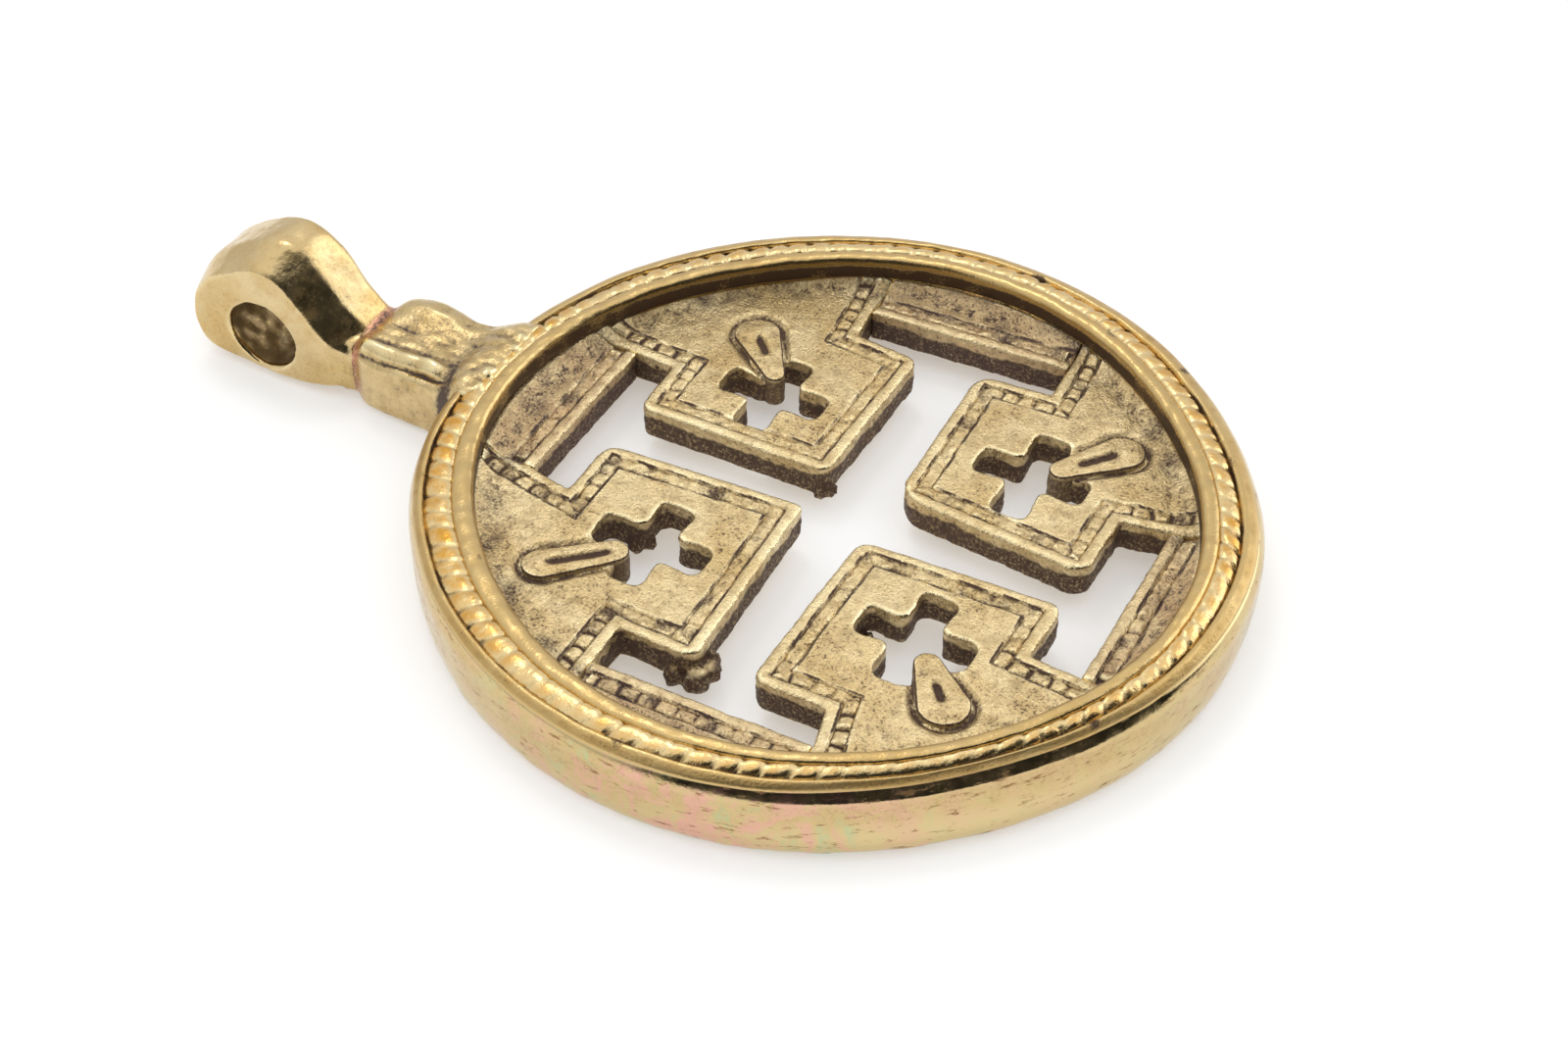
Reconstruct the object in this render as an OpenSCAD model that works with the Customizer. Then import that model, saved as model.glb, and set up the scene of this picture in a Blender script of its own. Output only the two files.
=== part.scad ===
// Openwork pendant: one casting in brass, with a round rim, a recessed plate
// with a large cross and four small crosses cut through it, and a drilled bail.
// Each module is one feature of the casting, and neighbours meet face to face.
//
// Millimetres. The origin is on the table, under the middle of the whole length.
// +Y points to the bail, +Z up out of the decorated face, +X to its right.

/* [Overall] */
// Length from the foot of the rim to the tip of the bail
overall_len = 46.5; // [45:0.1:48]
// Radius of the disc at the widest part of the rim
disc_r = 16.7; // [16.5:0.1:17.5]
// Height of the rim above the table
rim_h = 3.6; // [3.4:0.1:4]

/* [Rim] */
// Radius of the opening inside the rim
opening_r = 14.25; // [14:0.05:14.4]
// Height of the seat that the rope and its two bands stand on
seat_h = 3.1; // [2.8:0.1:3.2]
// Width of the plain band on the inner side of the rope
inner_band_w = 0.62; // [0.5:0.02:0.66]
// Width of the plain band on the outer side of the rope
outer_band_w = 0.6; // [0.5:0.02:0.64]
// How far the wall draws in from its widest to the outer band
shoulder_in = 0.35; // [0.2:0.05:0.5]
// Width of the fine groove on each side of the rope
groove_w = 0.09; // [0.06:0.01:0.12]
// Number of twists in the rope
rope_twists = 104; // [80:1:120]
// How far a twist leans forward from its inner to its outer end, in degrees
rope_lean = 2.2; // [0:0.1:3]
// How far the rope's twists stay apart, in degrees
rope_gap = 0.5; // [0.3:0.1:1]

/* [Plate] */
// Height of the plate's back face above the table
plate_back = 0.9; // [0.6:0.1:1.2]
// Height of the plate's decorated face above the table
plate_top = 2.3; // [2:0.1:2.5]
// How far the cross sits from the rim's centre, towards the foot
cross_drop = 0.35; // [0:0.05:0.4]

/* [Large cross] */
// Width of the cross's arms
arm_w = 2.7; // [2.4:0.1:3]
// Distance from the cross's centre to the crossbar at the end of an arm
bar_at = 10; // [9.6:0.1:10.2]
// Width of a crossbar
bar_w = 1.9; // [1.6:0.1:2]
// Length of a crossbar
bar_len = 8.8; // [8:0.1:9]
// Radius of the plate's corners beside the arms
corner_r = 0.55; // [0.3:0.05:0.7]

/* [Small crosses] */
// Width of a small cross's arms
small_arm_w = 1.5; // [1.2:0.1:1.8]
// Length of a small cross across two arms
small_cross_len = 4.8; // [4.2:0.1:5]
// Radius of the corners of a small cross
small_corner_r = 0.35; // [0.2:0.05:0.5]

/* [Borders] */
// Plain margin between a cut edge and the border's channel
margin = 0.45; // [0.3:0.05:0.6]
// Width of the border's channel
channel_w = 0.84; // [0.7:0.02:1]
// Depth of the border's channel
channel_d = 0.25; // [0.15:0.05:0.4]
// Width of a bead across the border
bead_w = 0.62; // [0.5:0.02:0.66]
// Height of a bead above the floor of the channel
bead_h = 0.3; // [0.2:0.05:0.4]
// Distance from one bead to the next
bead_pitch = 0.8; // [0.6:0.05:1]
// Gap between two beads
bead_gap = 0.14; // [0.08:0.02:0.2]

/* [Teardrops] */
// Height of a teardrop above the plate
drop_h = 0.5; // [0.3:0.05:0.7]
// Width of the groove around a teardrop
drop_groove_w = 0.3; // [0.2:0.05:0.4]
// Depth of the groove around a teardrop and of the slot in it
drop_groove_d = 0.2; // [0.1:0.05:0.3]

/* [Neck and bail] */
// Width of the neck
neck_w = 4.6; // [4:0.1:5]
// Height of the neck's top above the table
neck_top = 3.14; // [2.8:0.02:3.3]
// Height of the neck's underside above the table
neck_under = 0.15; // [0.05:0.05:0.4]
// Distance from the tip of the bail to the waist where the neck begins
head_len = 7.85; // [7.5:0.05:8.2]
// Width of the bail's head, along its hole
head_w = 4; // [3.6:0.1:4.4]
// Height of the bail's head above the table
head_h = 6.5; // [6:0.1:7]
// Distance from the tip of the bail to the middle of the head's crest
crest_in = 4.3; // [4:0.1:4.6]
// Length of the head's level crest
crest_len = 1.4; // [1:0.1:1.6]
// Height of the bail's nose, where the front slope starts
nose_z = 3.2; // [2.8:0.1:3.6]
// Diameter of the cord hole through the bail
cord_hole_d = 3.2; // [2.8:0.1:3.6]
// Height of the cord hole's axis above the table
cord_hole_z = 2.23; // [2.1:0.01:2.6]
// Distance from the tip of the bail to the cord hole's axis
cord_hole_in = 3.6; // [3.4:0.05:4]

/* [Hidden] */
$fn = 96;

tip_y = overall_len / 2;              // the bail's tip
rim_y = -overall_len / 2 + disc_r;    // the rim's centre
cross_y = rim_y - cross_drop;         // the large cross's centre
waist_y = tip_y - head_len;           // where the neck meets the head
arm = arm_w / 2;
bar = bar_len / 2;
bar_out = bar_at + bar_w;             // from the cross's centre to a crossbar's far edge
plate_t = plate_top - plate_back;
outer_band_r = disc_r - shoulder_in - outer_band_w;
rope_in = opening_r + inner_band_w + groove_w;
rope_out = outer_band_r - groove_w;
crest_front = tip_y - crest_in + crest_len / 2;
crest_back = tip_y - crest_in - crest_len / 2;
channel_mid = margin + channel_w / 2; // from a cut edge to the middle of the channel
past = 1;                             // how far a cutter runs past what it cuts
far = disc_r + past;                  // a distance beyond the disc
arc_steps = 6;                        // straight steps in a rounded corner

// One row for each quadrant: its side of the cross, the centre of its small cross,
// the teardrop's pointed and round ends, and the radius at each of those ends.
// Places are from the large cross's centre.
TOP_RIGHT = [[1, 1], [4.9, 5.6], [5.6, 6.0], [8.7, 8.7], 0.6, 1.05];
TOP_LEFT = [[-1, 1], [-5.5, 5.6], [-6.2, 6.2], [-9.0, 9.3], 0.65, 0.75];
BOTTOM_LEFT = [[-1, -1], [-5.3, -5.6], [-5.9, -6.2], [-8.7, -8.6], 0.55, 1.0];
BOTTOM_RIGHT = [[1, -1], [5.1, -5.8], [5.6, -6.5], [8.8, -9.1], 0.6, 0.95];

function unit(v) = v / norm(v);
function polar(r, a) = [r * cos(a), r * sin(a)];
function arc(centre, r, from, sweep, steps = arc_steps) =
    [for (i = [0 : steps]) centre + polar(r, from + sweep * i / steps)];

// A polygon's points with its corners rounded, from a list of [x, y, radius]
function rounded(corners) = let (n = len(corners)) [
    for (i = [0 : n - 1])
        let (
            p = [corners[i].x, corners[i].y],
            r = corners[i].z,
            last = corners[(i + n - 1) % n],
            next = corners[(i + 1) % n],
            a = unit([last.x, last.y] - p),
            b = unit([next.x, next.y] - p),
            half = acos(a * b) / 2,
            centre = p + unit(a + b) * r / sin(half),
            start = p + a * r / tan(half) - centre,
            turn = (180 - 2 * half) * sign(a.y * b.x - a.x * b.y)
        )
        each r == 0 ? [p] : arc(centre, r, atan2(start.y, start.x), turn)
];

// A pear outline round two circles, grown outwards by more
function pear(tip, end, r_tip, r_end, more = 0) =
    let (
        along = unit(end - tip),
        a = atan2(along.y, along.x),
        c_tip = tip + along * r_tip,
        c_end = end - along * r_end,
        lean = acos((r_tip - r_end) / norm(c_end - c_tip))
    )
    concat(
        arc(c_end, r_end + more, a - lean, 2 * lean, 2 * arc_steps),
        arc(c_tip, r_tip + more, a + lean, 360 - 2 * lean, 2 * arc_steps)
    );

// How far the rim's opening is from the cross's centre, beside a line that is off from it
function reach_y(off, side) = sqrt(opening_r ^ 2 - off ^ 2) + side * cross_drop;
function reach_x(off) = sqrt(opening_r ^ 2 - (off - cross_drop) ^ 2);

// The route of a quadrant's border: along the crossbar, round the square, and back out
function border_route(side) =
    let (near = arm + channel_mid, away = bar_at - channel_mid, out = bar + channel_mid)
    [for (p = [
        [out, reach_y(out, side.y)], [out, away], [near, away], [near, near],
        [away, near], [away, out], [reach_x(side.y * out), out]
    ]) [p.x * side.x, p.y * side.y]];

module at_cross() { translate([0, cross_y, 0]) children(); }

module at_rim() { translate([0, rim_y, 0]) children(); }

// A prism in the plate's own thickness
module plate_prism(points) {
    translate([0, 0, plate_back]) linear_extrude(plate_t) polygon(points);
}

// The space inside the rim, for the whole of the plate's thickness
module inside_rim() { at_rim() cylinder(r = opening_r, h = rim_h); }

// A box round two corners of an axis-aligned route, grown sideways by half a width
module route_box(p, q, w, z, h) {
    low = [min(p.x, q.x) - w / 2, min(p.y, q.y) - w / 2];
    high = [max(p.x, q.x) + w / 2, max(p.y, q.y) + w / 2];
    translate([low.x, low.y, z]) cube([high.x - low.x, high.y - low.y, h]);
}

// ---- rim ----

module rim_ring() {
    wall_r = 0.7;      // rounding of the outer wall's lower edge
    inner_ease = 0.25; // small bevel on the inner lower edge
    color("darkgoldenrod") at_rim() rotate_extrude() polygon(concat(
        [[opening_r, inner_ease], [opening_r + inner_ease, 0]],
        arc([disc_r - wall_r, wall_r], wall_r, -90, 90),
        [[disc_r, rim_h / 2], [disc_r - shoulder_in / 3, seat_h - shoulder_in],
         [disc_r - shoulder_in, seat_h], [opening_r, seat_h]]
    ));
}

// A plain raised band between two radii, with a rounded top
module plain_band(r_in, w) {
    crown = 0.2;
    at_rim() rotate_extrude() polygon([
        [r_in, seat_h], [r_in + w, seat_h], [r_in + w, rim_h - crown],
        [r_in + w - crown, rim_h], [r_in + crown, rim_h], [r_in, rim_h - crown]
    ]);
}

module rim_inner_band() { color("goldenrod") plain_band(opening_r, inner_band_w); }

module rim_outer_band() { color("goldenrod") plain_band(outer_band_r, outer_band_w); }

module rim_rope() {
    step = 360 / rope_twists;
    wide = step - rope_gap;
    below_bands = 0.05;
    rope_h = rim_h - seat_h - below_bands;
    color("orange") at_rim() translate([0, 0, seat_h])
        for (i = [0 : rope_twists - 1]) rotate(i * step) linear_extrude(rope_h) polygon([
            polar(rope_in, 0), polar(rope_out, rope_lean),
            polar(rope_out, rope_lean + wide), polar(rope_in, wide)
        ]);
}

// ---- plate ----

// A small cross with rounded corners, about its own centre
module small_cross() {
    long = small_cross_len / 2;
    half = small_arm_w / 2;
    for (turn = [0, 90]) rotate(turn) linear_extrude(far) polygon(rounded([
        [-long, -half, small_corner_r], [long, -half, small_corner_r],
        [long, half, small_corner_r], [-long, half, small_corner_r]
    ]));
}

module quadrant(q) {
    side = q[0];
    inner_fillet = 0.3;
    color("khaki") difference() {
        intersection() {
            inside_rim();
            at_cross() plate_prism([for (p = rounded([
                [arm, arm, corner_r], [bar_at, arm, corner_r], [bar_at, bar, inner_fillet],
                [far, bar, 0], [far, far, 0], [bar, far, 0],
                [bar, bar_at, inner_fillet], [arm, bar_at, corner_r]
            ])) [p.x * side.x, p.y * side.y]]);
        }
        at_cross() {
            route = border_route(side);
            for (i = [0 : len(route) - 2])
                route_box(route[i], route[i + 1], channel_w, plate_top - channel_d, past);
            translate([q[1].x, q[1].y, 0]) small_cross();
            linear_extrude(far) polygon(pear(q[2], q[3], q[4], q[5]));
            translate([0, 0, plate_top - drop_groove_d])
                linear_extrude(past) polygon(pear(q[2], q[3], q[4], q[5], drop_groove_w));
        }
    }
}

// The web between a crossbar and the rim, turned to its place round the cross
module web(turn) {
    color("darkkhaki") difference() {
        intersection() {
            inside_rim();
            at_cross() rotate(turn) plate_prism([
                [-bar, bar_out], [bar, bar_out], [bar, far], [-bar, far]
            ]);
        }
        at_cross() rotate(turn) web_channel();
    }
}

module web_channel() {
    mid = bar_out + channel_mid;
    end = bar - channel_mid;
    route_box([-end, mid], [end, mid], channel_w, plate_top - channel_d, past);
}

// ---- beaded borders ----

// A row of beads that fills the line from p to q evenly
module bead_row(p, q) {
    way = unit(q - p);
    count = round(norm(q - p) / bead_pitch);
    step = (q - p) / count;
    half = way * (norm(step) - bead_gap) / 2;
    across = [-way.y, way.x] * bead_w / 2;
    for (i = [0 : count - 1]) let (mid = p + step * (i + 0.5))
        translate([0, 0, plate_top - channel_d]) linear_extrude(bead_h)
            polygon([mid - half - across, mid + half - across,
                     mid + half + across, mid - half + across]);
}

// Beads along a quadrant's route, with a square bead at each turn
module border(q) {
    route = border_route(q[0]);
    last = len(route) - 1;
    clear = bead_w / 2 + bead_gap / 2; // room for the square bead at a turn
    rim_gap = 0.25;                    // room between the last bead and the rim
    color("burlywood") at_cross() {
        for (i = [0 : last - 1]) let (way = unit(route[i + 1] - route[i]))
            bead_row(route[i] + way * (i == 0 ? rim_gap : clear),
                     route[i + 1] - way * (i == last - 1 ? rim_gap : clear));
        for (i = [1 : last - 1])
            route_box(route[i], route[i], bead_w, plate_top - channel_d, bead_h);
    }
}

module web_border(turn) {
    mid = bar_out + channel_mid;
    end = bar - margin - bead_gap;
    color("tan") at_cross() rotate(turn) bead_row([-end, mid], [end, mid]);
}

// ---- teardrops ----

module teardrop(q) {
    top = plate_top + drop_h;
    slot_r = 0.18;
    slot_near = 0.45; // where the slot starts and ends along the teardrop
    slot_far = 0.72;
    color("gold") at_cross() difference() {
        translate([0, 0, plate_back])
            linear_extrude(top - plate_back) polygon(pear(q[2], q[3], q[4], q[5]));
        translate([0, 0, top - drop_groove_d]) linear_extrude(past)
            polygon(pear(q[2] + (q[3] - q[2]) * slot_near, q[2] + (q[3] - q[2]) * slot_far,
                         slot_r, slot_r * 1.3));
    }
}

// ---- neck and bail ----

module neck() {
    half = neck_w / 2;
    flare = 1.9;      // how far the neck spreads on each side at the rim
    foot_y = rim_y + disc_r - 1.2;
    waist_half = head_w / 2 - 0.05;
    color("darkkhaki") difference() {
        translate([0, 0, neck_under]) linear_extrude(neck_top - neck_under) polygon(rounded([
            [-half - flare, foot_y, 0], [half + flare, foot_y, 0],
            [half, foot_y + flare + 0.6, 1.6], [half, waist_y - 0.5, 0.3],
            [waist_half, waist_y, 0], [-waist_half, waist_y, 0],
            [-half, waist_y - 0.5, 0.3], [-half, foot_y + flare + 0.6, 1.6]
        ]));
        at_rim() cylinder(r = disc_r, h = head_h);
    }
}

// The head seen from the side: across is Y and up is Z
function head_side() = rounded([
    [waist_y, neck_under, 0], [waist_y + 1.9, 0, 1.2], [tip_y - 1.1, 0, 1.1],
    [tip_y, 1.3, 0.9], [tip_y, nose_z, 0.9], [crest_front, head_h, 1.2],
    [crest_back, head_h, 1.2], [waist_y, neck_top, 0]
]);

// A long bar with its two upper edges bevelled, its crown at a height and its way tilted
module bevelled_bar(y, tilt) {
    half = head_w / 2;
    crown = 1.03;  // half the width of the flat crown
    bevel = 0.55;
    translate([0, y, head_h]) rotate([90 + tilt, 0, 0]) linear_extrude(4 * head_w, center = true)
        polygon([[-half, -2 * head_h], [half, -2 * head_h], [half, -bevel],
                 [crown, 0], [-crown, 0], [-half, -bevel]]);
}

module bail_head() {
    slope_front = atan2(head_h - nose_z, tip_y - crest_front);
    slope_back = atan2(head_h - neck_top, crest_back - waist_y);
    color("darkgoldenrod") difference() {
        intersection() {
            translate([-head_w / 2, 0, 0]) rotate([90, 0, 90])
                linear_extrude(head_w) polygon(head_side());
            bevelled_bar(crest_front, 0);
            bevelled_bar(crest_front, -slope_front);
            bevelled_bar(crest_back, slope_back);
        }
        translate([0, tip_y - cord_hole_in, cord_hole_z]) rotate([0, 90, 0])
            cylinder(d = cord_hole_d, h = head_w + 2 * past, center = true);
    }
}

rim_ring();
rim_inner_band();
rim_rope();
rim_outer_band();
quadrant(TOP_RIGHT);  // quadrant_top_right
quadrant(TOP_LEFT);  // quadrant_top_left
quadrant(BOTTOM_LEFT);  // quadrant_bottom_left
quadrant(BOTTOM_RIGHT);  // quadrant_bottom_right
web(0);  // web_top
web(90);  // web_left
web(180);  // web_bottom
web(270);  // web_right
border(TOP_RIGHT);  // border_top_right
border(TOP_LEFT);  // border_top_left
border(BOTTOM_LEFT);  // border_bottom_left
border(BOTTOM_RIGHT);  // border_bottom_right
web_border(0);  // web_border_top
web_border(90);  // web_border_left
web_border(180);  // web_border_bottom
web_border(270);  // web_border_right
teardrop(TOP_RIGHT);  // teardrop_top_right
teardrop(TOP_LEFT);  // teardrop_top_left
teardrop(BOTTOM_LEFT);  // teardrop_bottom_left
teardrop(BOTTOM_RIGHT);  // teardrop_bottom_right
neck();
bail_head();
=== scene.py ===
import math

import bmesh
import bpy
import numpy as np
from mathutils import Matrix, Vector, noise


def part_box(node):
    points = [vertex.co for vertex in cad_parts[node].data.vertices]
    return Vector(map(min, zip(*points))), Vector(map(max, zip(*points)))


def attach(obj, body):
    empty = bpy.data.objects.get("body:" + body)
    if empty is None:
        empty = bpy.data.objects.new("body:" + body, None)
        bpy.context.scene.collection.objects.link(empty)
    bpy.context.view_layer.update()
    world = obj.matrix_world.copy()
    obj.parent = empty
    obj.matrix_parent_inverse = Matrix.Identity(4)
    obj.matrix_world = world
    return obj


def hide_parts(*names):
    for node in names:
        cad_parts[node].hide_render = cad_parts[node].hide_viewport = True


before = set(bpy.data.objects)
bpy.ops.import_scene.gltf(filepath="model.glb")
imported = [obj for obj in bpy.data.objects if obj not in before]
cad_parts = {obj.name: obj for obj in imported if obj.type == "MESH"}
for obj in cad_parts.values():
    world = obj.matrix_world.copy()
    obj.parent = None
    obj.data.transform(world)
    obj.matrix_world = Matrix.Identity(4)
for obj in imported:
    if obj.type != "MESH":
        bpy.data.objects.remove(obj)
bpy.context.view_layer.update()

MM = 0.001  # every mesh is shaped in millimetres and then brought to metres

# ---------------------------------------------------------------------------------------
# Camera: a close view from the left of the foot, well above the table, with a mid
# telephoto lens. It aims at a spot on the plate, so it is worked out from the plate's box.
# ---------------------------------------------------------------------------------------
plate_low, plate_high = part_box("quadrant_bottom_left")
ring_low, ring_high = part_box("rim_ring")
PLATE_TOP = plate_high.z / MM
RIM_Y = (ring_low.y + ring_high.y) / 2 / MM
CROSS_Y = RIM_Y - 0.35  # the large cross sits a little towards the foot


def point_camera(azimuth, elevation, roll, target, distance, lens):
    """Places the camera at a bearing round +Z and a height above the table, aimed at target."""
    az, el, tilt = (math.radians(a) for a in (azimuth, elevation, roll))
    back = Vector((math.sin(az) * math.cos(el), -math.cos(az) * math.cos(el), math.sin(el)))
    across = Vector((0, 0, 1)).cross(back).normalized()
    up = back.cross(across)
    right = math.cos(tilt) * across + math.sin(tilt) * up
    top = back.cross(right)
    data = bpy.data.cameras.new("camera")
    data.lens = lens
    data.sensor_width = 36
    data.clip_start = 0.005
    camera = bpy.data.objects.new("camera", data)
    bpy.context.scene.collection.objects.link(camera)
    place = Matrix((right, top, back)).transposed().to_4x4()
    place.translation = (Vector(target) + back * distance) * MM
    camera.matrix_world = place
    bpy.context.scene.camera = camera


point_camera(-63.14, 42.73, 0.97, (-2.07, CROSS_Y + 1.58, PLATE_TOP), 94.8, 55.7)

# ---------------------------------------------------------------------------------------
# Studio: a white table, a bright white room above and beyond, and a dark room behind the
# camera, which is what polished metal shows as black bands. One soft box hangs overhead.
# ---------------------------------------------------------------------------------------


def linear(hex_code):
    """An sRGB hex colour as linear RGBA."""
    parts = [int(hex_code[i : i + 2], 16) / 255 for i in (0, 2, 4)]
    return [c / 12.92 if c <= 0.04045 else ((c + 0.055) / 1.055) ** 2.4 for c in parts] + [1]


def add(tree, kind, settings=None, take=0, **links):
    """Adds a node and returns one of its outputs. Settings are its properties. Each link is an
    input's value or an output to join to it, under the input's name, or _ and its number."""
    node = tree.nodes.new(kind)
    for key, value in (settings or {}).items():
        setattr(node, key, value)
    for key, value in links.items():
        name = key.replace("_", " ").strip()
        socket = node.inputs[int(name)] if name.isdigit() else node.inputs[name]
        if isinstance(value, bpy.types.NodeSocket):
            tree.links.new(value, socket)
        else:
            socket.default_value = value
    return node.outputs[take] if node.outputs else None


RANGE, MATH, MIX = "ShaderNodeMapRange", "ShaderNodeMath", "ShaderNodeMix"
VECTOR = "ShaderNodeVectorMath"
AMOUNT = {"data_type": "FLOAT"}


def light_room(strength, dark, bearing, panel):
    """A white room, brighter overhead, with a light panel in one direction and darkness at one
    bearing. Only mirrored rays meet all of it; the others meet an even white."""
    world = bpy.data.worlds.new("studio")
    world.use_nodes = True
    bpy.context.scene.world = world
    tree = world.node_tree
    tree.nodes.clear()
    dot, soft = {"operation": "DOT_PRODUCT"}, {"interpolation_type": "SMOOTHSTEP"}
    side = (math.sin(math.radians(bearing)), -math.cos(math.radians(bearing)), 0)
    way = add(tree, "ShaderNodeTexCoord", take="Generated")
    facing = add(tree, VECTOR, dot, take="Value", _0=way, _1=side)
    window = add(tree, VECTOR, dot, take="Value", _0=way, _1=panel)
    height = add(tree, "ShaderNodeSeparateXYZ", take="Z", Vector=way)
    near = add(tree, RANGE, soft, Value=facing, From_Min=0.15, From_Max=0.42)
    low = add(tree, RANGE, soft, Value=height, From_Min=0.97, From_Max=0.8)
    glow = add(tree, RANGE, soft, Value=window, From_Min=0.87, From_Max=0.95, To_Max=1.4)
    shade = add(tree, MATH, {"operation": "MULTIPLY"}, _0=near, _1=low)
    sky = add(tree, RANGE, Value=height, To_Min=0.65 * strength, To_Max=1.1 * strength)
    level = add(tree, MIX, AMOUNT, _0=shade, _2=sky, _3=dark)
    level = add(tree, MATH, {"operation": "ADD"}, _0=level, _1=glow)
    mirrored = add(tree, "ShaderNodeLightPath", take="Is Glossy Ray")
    shown = add(tree, MIX, AMOUNT, _0=mirrored, _2=1.05, _3=level)
    room = add(tree, "ShaderNodeBackground", Color=(1, 1, 1, 1), Strength=shown)
    add(tree, "ShaderNodeOutputWorld", Surface=room)


def hang_soft_box(name, place, aim, size, watts):
    data = bpy.data.lights.new(name, "AREA")
    data.shape = "DISK"
    data.size = size
    data.energy = watts
    lamp = bpy.data.objects.new(name, data)
    bpy.context.scene.collection.objects.link(lamp)
    lamp.location = place
    lamp.rotation_euler = (Vector(aim) - Vector(place)).to_track_quat("-Z", "Y").to_euler()


light_room(strength=1.04, dark=0.015, bearing=-32, panel=(0.68, -0.62, 0.38))
hang_soft_box("soft_box", (0.10, 0.12, 0.34), (0, 0, 0), 0.10, 0.12)
bpy.context.scene.view_settings.view_transform = "Standard"

floor_mesh = bpy.data.meshes.new("table")
table = bmesh.new()
bmesh.ops.create_circle(table, cap_ends=True, segments=64, radius=2)
table.to_mesh(floor_mesh)
table.free()
floor = bpy.data.objects.new("table", floor_mesh)
bpy.context.scene.collection.objects.link(floor)
# matt white card, lit a little from within, so that only a soft shadow shows on it
paper = bpy.data.materials.new("white_paper")
paper.use_nodes = True
card = paper.node_tree.nodes["Principled BSDF"].inputs
card["Base Color"].default_value = linear("DEDEDE")
card["Roughness"].default_value = 1
card["Specular IOR Level"].default_value = 0
card["Emission Color"].default_value = (1, 1, 1, 1)
card["Emission Strength"].default_value = 0.32
floor_mesh.materials.append(paper)

# ---------------------------------------------------------------------------------------
# Rim body: the plain cast ring that everything stands on. Its outer wall was filed and
# polished by hand, so it is bright but not quite round. The opening inside is as cast.
# ---------------------------------------------------------------------------------------
DISC_R = (ring_high.x - ring_low.x) / 2 / MM
OPENING_R = 14.25
SEAT = 3.1            # height of the seat for the rope and its bands
RIM_TOP = 3.6


def bump(angle, middle, spread):
    """1 at the middle angle, falling to 0 within about twice the spread, in degrees."""
    away = (angle - middle + 180) % 360 - 180
    return np.exp(-((away / spread) ** 2))


def lumps(points, size, seed=0.0):
    """Smooth noise from -1 to 1 over points in millimetres, with features of that size."""
    return np.array([noise.noise(Vector(p) / size + Vector((seed, seed, seed))) for p in points])


def points_of(mesh):
    flat = np.empty(len(mesh.vertices) * 3)
    mesh.vertices.foreach_get("co", flat)
    return flat.reshape(-1, 3)


def normals_of(mesh):
    flat = np.empty(len(mesh.vertices) * 3)
    mesh.vertex_normals.foreach_get("vector", flat)
    return flat.reshape(-1, 3)


def move_points(mesh, points):
    mesh.vertices.foreach_set("co", np.ascontiguousarray(points, dtype=np.float32).ravel())
    mesh.update()


def polar(points):
    """The distance of points from the rim's centre, and their bearing there in degrees."""
    x, y = points[:, 0], points[:, 1] - RIM_Y
    return np.hypot(x, y), np.degrees(np.arctan2(y, x))


def at_radius(points, radius):
    """Points moved straight out or in to new distances from the rim's centre."""
    moved = points.copy()
    share = radius / polar(points)[0]
    moved[:, 0] = points[:, 0] * share
    moved[:, 1] = RIM_Y + (points[:, 1] - RIM_Y) * share
    return moved


def hand_made(points):
    """Points of the rim as the hand left it: the opening is faintly four-lobed, and the wall is
    filed flat in places."""
    r, angle = polar(points)
    inner = 0.18 * np.cos(np.radians(4 * angle)) + 0.05 * np.cos(np.radians(3 * angle + 40))
    outer = (-0.1 + 0.35 * bump(angle, 352, 34) - 0.2 * bump(angle, 228, 26) + 0.12 * bump(angle, 45, 30)
             + 0.18 * bump(angle, 286, 14) + 0.2 * bump(angle, 112, 16))
    out = np.clip((r - OPENING_R) / (DISC_R - OPENING_R), 0, 1)
    # the rope strays outwards on the left
    between = np.clip(np.minimum((r - OPENING_R) / 1.5, (DISC_R - r) / 0.95), 0, 1)
    stray = 0.42 * bump(angle, 132, 45) * between
    # the hand leaned in at the foot, so that the rope and its bands are crowded there
    raised = np.clip((points[:, 2] - 0.4) / 1.8, 0, 1)
    crowd = 0.3 * bump(angle, 222, 34) * np.clip((r - 14.8) / 0.9, 0, 1) * raised
    grown = r + inner * (1 - out) + outer * out + stray - crowd + 0.03 * lumps(points, 2.4, 3)
    moved = at_radius(points, grown)
    high = np.clip(points[:, 2] / RIM_TOP, 0, 1)
    sway = 0.12 * bump(angle, 10, 40) - 0.08 * bump(angle, 222, 30)
    moved[:, 2] += high * (0.04 * lumps(points, 5.0, 9) + sway)
    return moved


SHOULDER = (15.78, 16.12)  # radii that the shoulder starts at and turns down at


def filed(points):
    """Points of the rim's shoulder: broad where the file leaned on it, tight everywhere else."""
    start, turn = SHOULDER
    r, angle = polar(points)
    z = points[:, 2]
    broad = bump(angle, 224, 30)
    tight = 1 - broad
    lip = 15.97 + 0.41 * tight
    wall = DISC_R - 0.34 * broad * np.clip((z - 0.8) / 1.6, 0, 1)
    grown = np.where(r > turn, lip + (r - turn) * (wall - lip) / (DISC_R - turn),
                     start + (r - start) * (lip - start) / (turn - start))
    moved = at_radius(points, np.where(r <= start, r, grown))
    below = np.clip(SEAT - z, 0, 0.75)
    fuller = below * (1 - below / 0.76) * 0.5 * tight
    risen = 0.3 * broad * np.clip(SEAT - z, 0, 0.5) * np.clip((z - 1.2) / 1.2, 0, 1)
    moved[:, 2] += np.where(r > 16.0, fuller + risen, 0)
    return moved


def new_piece(name, shape):
    """A finished bmesh, in millimetres, as an object."""
    mesh = bpy.data.meshes.new(name)
    shape.to_mesh(mesh)
    shape.free()
    piece = bpy.data.objects.new(name, mesh)
    bpy.context.scene.collection.objects.link(piece)
    return piece


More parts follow.
